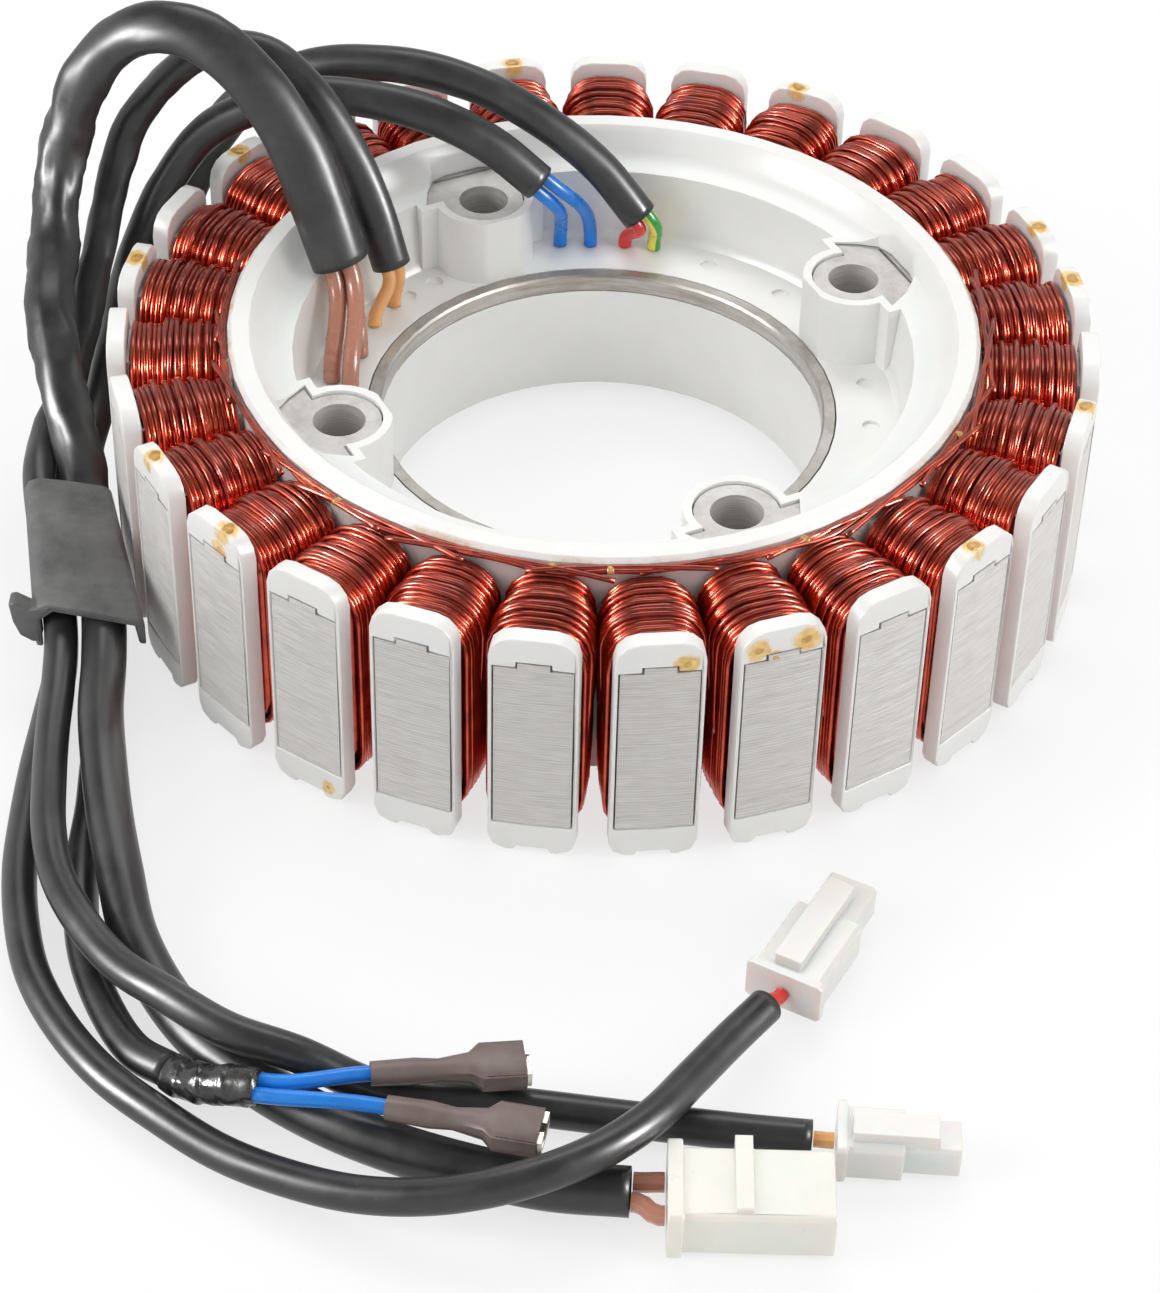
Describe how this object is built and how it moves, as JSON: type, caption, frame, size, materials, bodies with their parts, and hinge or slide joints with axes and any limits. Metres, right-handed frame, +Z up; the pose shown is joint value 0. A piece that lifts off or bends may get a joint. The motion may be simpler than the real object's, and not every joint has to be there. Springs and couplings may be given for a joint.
{
  "type": "wound stator",
  "caption": "Wound stator ring of an outer-rotor generator: laminated steel core in white overmoulding, copper tooth coils, and sleeved output cables with plugs.",
  "frame": {"origin": "on the bore axis, at the level of the moulding's lowest face, on which the stator lies", "axes": "+Z up the bore axis, from the foot of the moulding to the side where the cables leave; the plugs lie towards -Y"},
  "size_m": [0.1989, 0.2671, 0.0884],
  "materials": {
    "lamination_steel": "dull laminated edge",
    "white_moulding": "satin moulded",
    "ring_steel": "turned",
    "enamelled_copper": "clear enamel over copper",
    "clip_rubber": "matte, dusty",
    "black_vinyl": "semi-gloss",
    "brown_lead": "semi-gloss",
    "orange_lead": "semi-gloss",
    "blue_lead": "semi-gloss",
    "red_lead": "semi-gloss",
    "green_yellow_lead": "semi-gloss",
    "black_tape": "glossy, creased",
    "brown_shrink_sleeve": "satin",
    "tinned_blade": "tinned",
    "ivory_nylon": "satin",
    "clear_nylon": "milky, half clear"
  },
  "bodies": {
    "root": {"laminated_core": "lamination_steel", "insulator": "white_moulding", "bore_ring": "ring_steel", "crossover_wire_1": "enamelled_copper", "crossover_wire_2": "enamelled_copper", "cable_clip": "clip_rubber", "sleeve_main": "black_vinyl", "sleeve_orange": "black_vinyl", "sleeve_blue": "black_vinyl", "sleeve_red": "black_vinyl", "lead_brown_1": "brown_lead", "lead_brown_2": "brown_lead", "lead_brown_3": "brown_lead", "lead_orange_1": "orange_lead", "lead_orange_2": "orange_lead", "lead_blue_1": "blue_lead", "lead_blue_2": "blue_lead", "lead_red": "red_lead", "lead_earth": "green_yellow_lead", "tape_wrap": "black_tape", "tail_blue_1": "blue_lead", "tail_blue_2": "blue_lead", "terminal_sleeve_1": "brown_shrink_sleeve", "terminal_sleeve_2": "brown_shrink_sleeve", "blade_receptacle_1": "tinned_blade", "blade_receptacle_2": "tinned_blade", "tail_brown_1": "brown_lead", "tail_brown_2": "brown_lead", "tail_orange": "orange_lead", "tail_red": "red_lead", "connector_large": "ivory_nylon", "connector_side": "clear_nylon", "connector_top": "clear_nylon", "coil_01": "enamelled_copper", "coil_02": "enamelled_copper", "coil_03": "enamelled_copper", "coil_04": "enamelled_copper", "coil_05": "enamelled_copper", "coil_06": "enamelled_copper", "coil_07": "enamelled_copper", "coil_08": "enamelled_copper", "coil_09": "enamelled_copper", "coil_10": "enamelled_copper", "coil_11": "enamelled_copper", "coil_12": "enamelled_copper", "coil_13": "enamelled_copper", "coil_14": "enamelled_copper", "coil_15": "enamelled_copper", "coil_16": "enamelled_copper", "coil_17": "enamelled_copper", "coil_18": "enamelled_copper", "coil_19": "enamelled_copper", "coil_20": "enamelled_copper", "coil_21": "enamelled_copper", "coil_22": "enamelled_copper", "coil_23": "enamelled_copper", "coil_24": "enamelled_copper", "coil_25": "enamelled_copper", "coil_26": "enamelled_copper", "coil_27": "enamelled_copper"}
  },
  "joints": []
}
